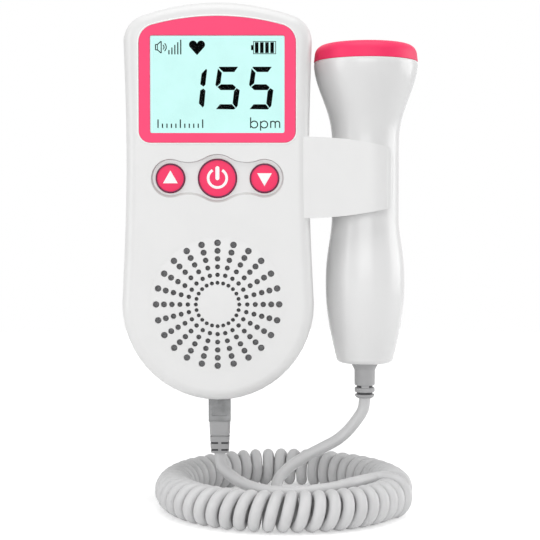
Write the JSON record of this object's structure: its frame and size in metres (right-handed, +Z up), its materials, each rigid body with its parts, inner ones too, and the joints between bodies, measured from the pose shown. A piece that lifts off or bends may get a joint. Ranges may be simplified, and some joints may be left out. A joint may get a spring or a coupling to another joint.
{
  "type": "fetal doppler monitor",
  "caption": "Hand-held fetal heart monitor with display, three keys, speaker, a side clip that holds its probe, and a curly lead between them.",
  "frame": {"origin": "on the flat back of the case, at half the case's height and on its middle line", "axes": "+Z up along the case's height, -Y out of the display, +X towards the probe"},
  "size_m": [0.1014, 0.0904, 0.1737],
  "materials": {
    "case_white": "satin moulded",
    "case_pink": "satin moulded",
    "window": "clear polished",
    "display_glass": "lit, pale cyan",
    "light_guide": "frosted",
    "inner_plastic": "moulded",
    "board": "solder mask",
    "chip": "moulded",
    "steel": "plain",
    "contact_brass": "plated",
    "cell": "printed sleeve",
    "magnet": "plated",
    "cone_paper": "pressed paper",
    "gasket": "foam",
    "rubber_grey": "matt moulded",
    "lead_grey": "satin sleeve",
    "plug_clear": "smoky clear",
    "crystal": "fired ceramic"
  },
  "bodies": {
    "root": {"front_shell": "case_white", "rear_shell": "case_white", "probe_clip": "case_white", "bezel": "case_pink", "display_window": "window", "lcd_panel": "display_glass", "lcd_backlight": "light_guide", "lcd_holder": "inner_plastic", "main_board": "board", "board_chips": "chip", "board_screws": "steel", "tact_switches": "chip", "speaker_grille": "case_white", "speaker_gasket": "gasket", "speaker_frame": "steel", "speaker_cone": "cone_paper", "speaker_magnet": "magnet", "battery_1": "cell", "battery_2": "cell", "battery_springs": "steel", "battery_contacts": "contact_brass", "lead_jack": "chip", "case_screws": "steel", "cord_tail_main": "lead_grey", "cord_coil": "lead_grey", "cord_tail_probe": "lead_grey"},
    "power_press": {"power_button": "case_pink", "power_plunger": "chip"},
    "up_press": {"up_button": "case_pink", "up_plunger": "chip"},
    "down_press": {"down_button": "case_pink", "down_plunger": "chip"},
    "door": {"battery_door": "case_white"},
    "plug": {"plug_body": "plug_clear", "plug_contacts": "contact_brass", "plug_boot": "rubber_grey"},
    "latch": {"plug_latch": "plug_clear"},
    "probe": {"probe_relief": "rubber_grey", "probe_shell_front": "case_white", "probe_shell_rear": "case_white", "probe_cap": "case_pink", "transducer_crystals": "crystal", "transducer_backing": "gasket", "probe_board": "board"}
  },
  "joints": [
    {"name": "power_button_press", "type": "slide", "parent": "root", "child": "power_press", "axis": [0, 1, 0], "range_m": [0, 0.0008], "stiffness_N_per_m": 400},
    {"name": "up_button_press", "type": "slide", "parent": "root", "child": "up_press", "axis": [0, 1, 0], "range_m": [0, 0.0008], "stiffness_N_per_m": 400},
    {"name": "down_button_press", "type": "slide", "parent": "root", "child": "down_press", "axis": [0, 1, 0], "range_m": [0, 0.0008], "stiffness_N_per_m": 400},
    {"name": "battery_door_hinge", "type": "hinge", "parent": "root", "child": "door", "pos_m": [0, -0.0013, 0.0586], "axis": [1, 0, 0], "range_deg": [0, 95]},
    {"name": "plug_pull", "type": "slide", "parent": "root", "child": "plug", "axis": [0, 0, -1], "range_m": [0, 0.0075], "deforming": ["cord_tail_main"]},
    {"name": "plug_latch_flex", "type": "hinge", "parent": "plug", "child": "latch", "pos_m": [0, -0.0144, -0.0612], "axis": [-1, 0, 0], "range_deg": [0, 5], "stiffness_Nm_per_rad": 0.02},
    {"name": "probe_unclip", "type": "slide", "parent": "root", "child": "probe", "axis": [1, 0, 0], "range_m": [0, 0.026], "deforming": ["cord_tail_probe"]}
  ]
}
